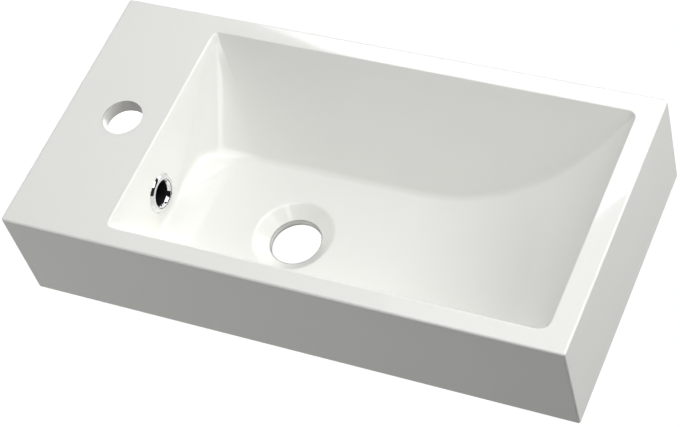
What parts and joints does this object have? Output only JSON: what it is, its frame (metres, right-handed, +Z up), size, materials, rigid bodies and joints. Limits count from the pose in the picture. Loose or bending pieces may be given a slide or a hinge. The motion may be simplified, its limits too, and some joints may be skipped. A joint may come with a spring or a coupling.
{
  "type": "hand basin",
  "caption": "Rectangular wall-hung hand basin with a tap deck on the left, a sloping rectangular bowl, and a chromed overflow ring with its elbow.",
  "frame": {"origin": "middle of the base of the skirts", "axes": "+X along the wall from the tap deck to the shallow end, +Y from the front edge to the wall, +Z up"},
  "size_m": [0.5, 0.25, 0.1],
  "materials": {
    "body": "high gloss white",
    "chrome": "polished",
    "gasket": "matt black",
    "elbow": "moulded black"
  },
  "bodies": {
    "root": {"basin_body": "body", "overflow_ring": "chrome", "overflow_gasket": "gasket", "overflow_elbow": "elbow"}
  },
  "joints": []
}
